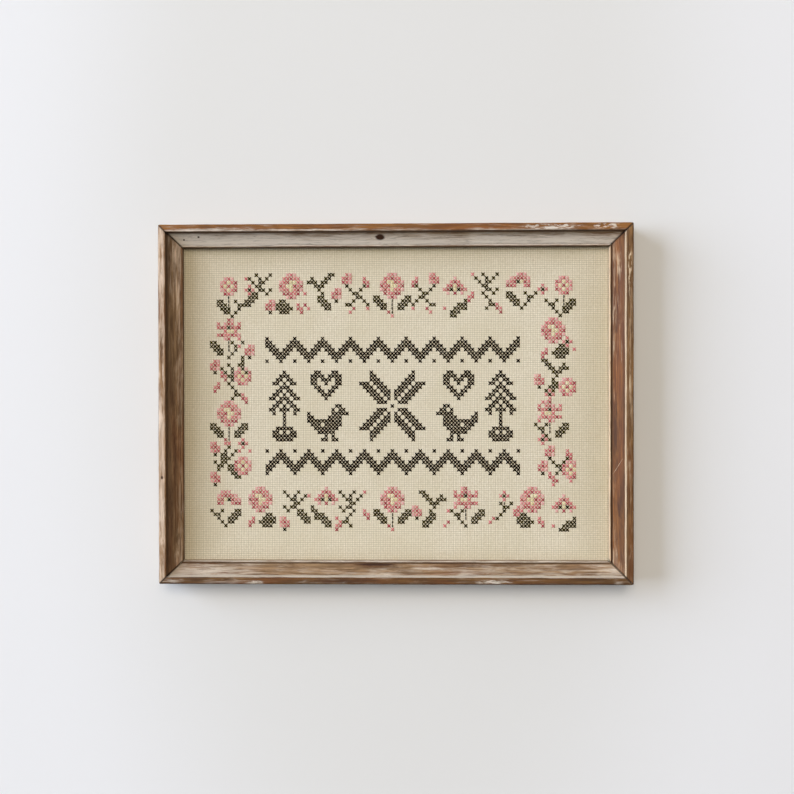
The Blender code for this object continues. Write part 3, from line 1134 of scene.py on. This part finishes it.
def build_stitches():
    """Every cross of the chart, the lower legs first and the upper ones over them, with the straight stems."""
    chart, stems = whole_chart()
    rng = np.random.default_rng(12)
    stem_column = np.concatenate([np.full(last - first, c) for c, first, last in stems])
    stem_row = np.concatenate([np.arange(first, last) for c, first, last in stems])
    pieces = []
    for letter, (name, dark, light, width) in FLOSS.items():
        rows, columns = np.nonzero(chart == letter)
        start = np.concatenate([hole_at(columns, rows + 1), hole_at(columns, rows)])
        end = np.concatenate([hole_at(columns + 1, rows), hole_at(columns + 1, rows + 1)])
        lift = np.repeat([LOWER_LEG_LIFT, UPPER_LEG_LIFT], len(rows))
        if letter == "d":
            start = np.concatenate([start, hole_at(stem_column, stem_row)])
            end = np.concatenate([end, hole_at(stem_column, stem_row + 1)])
            lift = np.concatenate([lift, np.full(len(stem_row), STEM_LIFT)])
        points, strand = floss_legs(start, end, lift, width, rng)
        pieces.append(floss_piece(name + "_stitches", points, strand, floss(name + "_floss", dark, light)))
    return pieces


# Backing


def finish_board():
    """Plain pressed fibre board: matt grey-brown, with short pale fibres and a faint mottle."""
    material, tree, shader = new_material("pressed_fibre_board", Roughness=0.9, Specular_IOR_Level=0.2)
    place = add(tree, "ShaderNodeTexCoord", out="Object")
    fine = {"Vector": place, "Scale": 900.0, "Detail": 4.0, "Roughness": 0.7, "Distortion": 1.5}
    fibres = add(tree, NOISE, fine)
    mottle = add(tree, NOISE, {"Vector": place, "Scale": 45.0, "Detail": 4.0, "Roughness": 0.6})
    fibre_shade = add(tree, SMOOTH, [fibres, 0.35, 0.7])
    base = add(tree, COLOURS, {0: fibre_shade, 6: linear("8C7E68"), 7: linear("B5A78F")})
    stain = add(tree, SMOOTH, [mottle, 0.4, 0.7, 0.0, 0.4])
    base = add(tree, COLOURS, {0: stain, 6: base, 7: linear("97846A")})
    set_surface(tree, shader, base, fibres, 0.4, 0.2 * MM)
    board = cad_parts["backing_board"]
    board.data.materials.clear()
    board.data.materials.append(material)


# Stage, light and camera

# Each lamp: where it stands from the middle of the frame, its side, its power and its colour
LAMPS = {
    "window_lamp": ((-5.55, -2.50, 1.39), 4.6, 412.0, (0.88, 1.0, 1.20)),
    "room_lamp": ((0.0, -5.70, 1.75), 3.4, 168.0, (1.13, 1.0, 0.82)),
    "rear_lamp": ((1.2, 2.4, 1.2), 1.5, 48.0, (1.0, 1.0, 1.0)),
}
AMBIENT_COLOUR = (1.0, 1.0, 0.98, 1.0)
AMBIENT = 0.18
# The backdrop's tone near the frame and further out; the lighter, bluer far tone is painted light
WALL_PAINT_AND_LIGHT = ("E7E7E6", "F1F2F5")
FLOOR_PAINT = ("CDCDCB", "CBCBC9")
SURROUND_GLOW = 0.78

# Where the backdrop's painted light passes from the darker tone near the frame to the lighter, bluer one further out,
# and the extent of the stage
WALL_TONE_NEAR, WALL_TONE_FAR = 0.12, 0.26
WALL_BEHIND = 0.4 * MM
WALL_HALF_WIDTH = 1.6
WALL_HEIGHT = 2.4
FLOOR_DROP = 0.95
FLOOR_HALF_WIDTH = 2.6
SURROUND_REACH = 9.0
SURROUND_RINGS = 17
SURROUND_SIDES = 32

# How much of the ambient light comes from below and from above, and how high the change between them reaches
AMBIENT_BELOW, AMBIENT_ABOVE, AMBIENT_BLEND = 0.3, 1.5, 0.4


def stage_mesh(name, vertices, faces, material, unseen_by):
    """A mesh of the stage, which is not part of the sampler, and the kinds of ray that pass it by."""
    made = make_mesh(name, vertices, faces, material)
    for kind in unseen_by:
        setattr(made, "visible_" + kind, False)


def build_stage():
    """A pale backdrop just behind the frame, a pale floor below, and a pale dome round both.

    The backdrop takes the frame's soft shadow, and is painted lighter and bluer away from the frame as painted light.
    It is one-sided, so that the frame's back shows from behind. The dome has its own even glow and gives no light.
    """
    matt = dict(Roughness=0.9, Specular_IOR_Level=0.0)
    wall_paint_and_light, tree, shader = new_material("backdrop_paint_and_light", **matt)
    place = add(tree, "ShaderNodeTexCoord", out="Object")
    # Painted light: the backdrop grows lighter and bluer away from the frame
    away = add(tree, VECTOR, [place, (1.0, 0.0, 0.4)], operation="MULTIPLY")
    away = add(tree, VECTOR, [away], out="Value", operation="LENGTH")
    wide = add(tree, SMOOTH, [away, WALL_TONE_NEAR, WALL_TONE_FAR])
    tone = add(tree, COLOURS, {0: wide, 6: linear(WALL_PAINT_AND_LIGHT[0]), 7: linear(WALL_PAINT_AND_LIGHT[1])})
    tree.links.new(tone, shader.inputs["Base Color"])
    from_behind = add(tree, "ShaderNodeNewGeometry", out="Backfacing")
    clear = add(tree, "ShaderNodeBsdfTransparent")
    mixed = add(tree, "ShaderNodeMixShader", [from_behind, shader.outputs[0], clear])
    tree.links.new(mixed, tree.nodes["Material Output"].inputs["Surface"])

    floor_paint, tree, shader = new_material("floor_paint", **matt)
    place = add(tree, "ShaderNodeTexCoord", out="Object")
    mottle = add(tree, NOISE, {"Vector": place, "Scale": 4.0, "Detail": 2.0, "Roughness": 0.5})
    faint = add(tree, SMOOTH, [mottle, 0.3, 0.7, 0.0, 0.5])
    tone = add(tree, COLOURS, {0: faint, 6: linear(FLOOR_PAINT[0]), 7: linear(FLOOR_PAINT[1])})
    tree.links.new(tone, shader.inputs["Base Color"])

    low = OUTLINE_LOW.z - FLOOR_DROP
    w, y, top, f = WALL_HALF_WIDTH, WALL_BEHIND, low + WALL_HEIGHT, FLOOR_HALF_WIDTH
    wall_corners = [(-w, y, low), (w, y, low), (w, y, top), (-w, y, top)]
    floor_corners = [(-f, -f, low), (f, -f, low), (f, f, low), (-f, f, low)]
    stage_mesh("backdrop", wall_corners, [(0, 1, 2, 3)], wall_paint_and_light, ("diffuse", "glossy", "shadow"))
    stage_mesh("floor", floor_corners, [(0, 1, 2, 3)], floor_paint, ("diffuse",))

    constants = dict(Base_Color=(0, 0, 0, 1), Specular_IOR_Level=0.0, Emission_Strength=SURROUND_GLOW)
    glow = new_material("surround_glow", **constants)[0]
    rise = np.linspace(0.01, np.pi - 0.01, SURROUND_RINGS)
    up, round_about = np.meshgrid(rise, np.arange(SURROUND_SIDES) * 2 * np.pi / SURROUND_SIDES, indexing="ij")
    dome = np.stack([np.sin(up) * np.cos(round_about), np.sin(up) * np.sin(round_about), np.cos(up)], -1)
    dome_faces = ring_faces(SURROUND_RINGS, SURROUND_SIDES).tolist()
    unseen_by = ("diffuse", "glossy", "transmission", "shadow")
    stage_mesh("surround", SURROUND_REACH * dome.reshape(-1, 3), dome_faces, glow, unseen_by)


def build_light():
    """Soft studio light: a lamp from the left, one from above the camera, a weak one behind, and the surround.

    The surround gives less light from below than from above.
    """
    middle = Vector((0.0, 0.0, MIDDLE_Z))
    for name, (place, side, power, colour) in LAMPS.items():
        data = bpy.data.lights.new(name, "AREA")
        data.shape = "SQUARE"
        data.size = side
        data.energy = power
        data.color = colour
        lamp = bpy.data.objects.new(name, data)
        lamp.location = middle + Vector(place)
        lamp.rotation_euler = (-Vector(place)).to_track_quat("-Z", "Y").to_euler()
        bpy.context.scene.collection.objects.link(lamp)
    world = bpy.data.worlds.new("pale_surround")
    bpy.context.scene.world = world
    world.use_nodes = True
    tree = world.node_tree
    background = tree.nodes["Background"]
    background.inputs["Color"].default_value = AMBIENT_COLOUR
    direction = add(tree, "ShaderNodeTexCoord", out="Generated")
    height = add(tree, "ShaderNodeSeparateXYZ", [direction], out=2)
    below, above = AMBIENT_BELOW * AMBIENT, AMBIENT_ABOVE * AMBIENT
    strength = add(tree, SMOOTH, [height, -AMBIENT_BLEND, AMBIENT_BLEND, below, above])
    tree.links.new(strength, background.inputs["Strength"])


def build_camera():
    """The camera at the photograph's viewpoint: nearly face on, a little right of the middle and above it."""
    data = bpy.data.cameras.new("camera")
    data.lens = CAMERA_LENS_MM
    data.sensor_width = CAMERA_SENSOR_MM
    data.clip_start = 0.01
    camera = bpy.data.objects.new("camera", data)
    yaw, pitch, roll = CAMERA_YAW, CAMERA_PITCH, CAMERA_ROLL
    forward = Vector((-math.sin(yaw) * math.cos(pitch), math.cos(yaw) * math.cos(pitch), math.sin(pitch)))
    level = Vector((math.cos(yaw), math.sin(yaw), 0.0))
    above = level.cross(forward)
    right = level * math.cos(roll) - above * math.sin(roll)
    up = level * math.sin(roll) + above * math.cos(roll)
    turn = Matrix((right, up, -forward)).transposed().to_4x4()
    place = Vector((CAMERA_RIGHT, -(CLOTH_FRONT + CAMERA_DISTANCE), MIDDLE_Z + CAMERA_UP))
    camera.matrix_world = Matrix.Translation(place) @ turn
    bpy.context.scene.collection.objects.link(camera)
    bpy.context.scene.camera = camera


build_camera()
for number, rail in enumerate(RAILS):
    build_rail(rail, 3 + number)
cloth_piece = build_cloth()
stitch_pieces = build_stitches()
finish_board()
build_stage()
build_light()
bpy.context.scene.view_settings.view_transform = "Standard"
